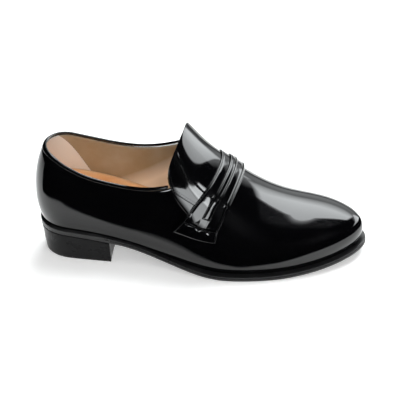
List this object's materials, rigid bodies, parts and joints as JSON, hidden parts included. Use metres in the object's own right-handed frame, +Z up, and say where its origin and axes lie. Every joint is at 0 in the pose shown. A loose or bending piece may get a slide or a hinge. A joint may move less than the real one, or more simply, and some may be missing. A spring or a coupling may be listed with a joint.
{
  "type": "dress shoe",
  "caption": "Slip-on dress shoe for the right foot: glossy black upper, standing tongue, piped strap with a raised tab over the instep, bound collar, tan insole, thin sole and block heel.",
  "frame": {"origin": "centre of the bounding box at floor height, under the waist of the shoe", "axes": "+X from heel to toe, +Y to the medial (inner) side, -Y to the lateral (outer) side, +Z up from the floor"},
  "size_m": [0.2876, 0.1064, 0.1184],
  "materials": {
    "patent_leather": "black high-gloss patent leather, lined",
    "tongue_patent": "black high-gloss patent leather, lined",
    "strap_patent": "black high-gloss patent leather, padded and piped",
    "tab_patent": "black high-gloss patent leather, folded",
    "binding_patent": "black gloss leather, rolled and stitched",
    "sock_leather": "smooth orange-tan leather, cupped",
    "sole_rubber": "black satin, waxed edge",
    "heel_rubber": "black satin"
  },
  "bodies": {
    "root": {"upper": "patent_leather", "tongue": "tongue_patent", "strap": "strap_patent", "strap_tab": "tab_patent", "collar_binding": "binding_patent", "insole": "sock_leather", "outsole": "sole_rubber", "heel": "heel_rubber"}
  },
  "joints": []
}
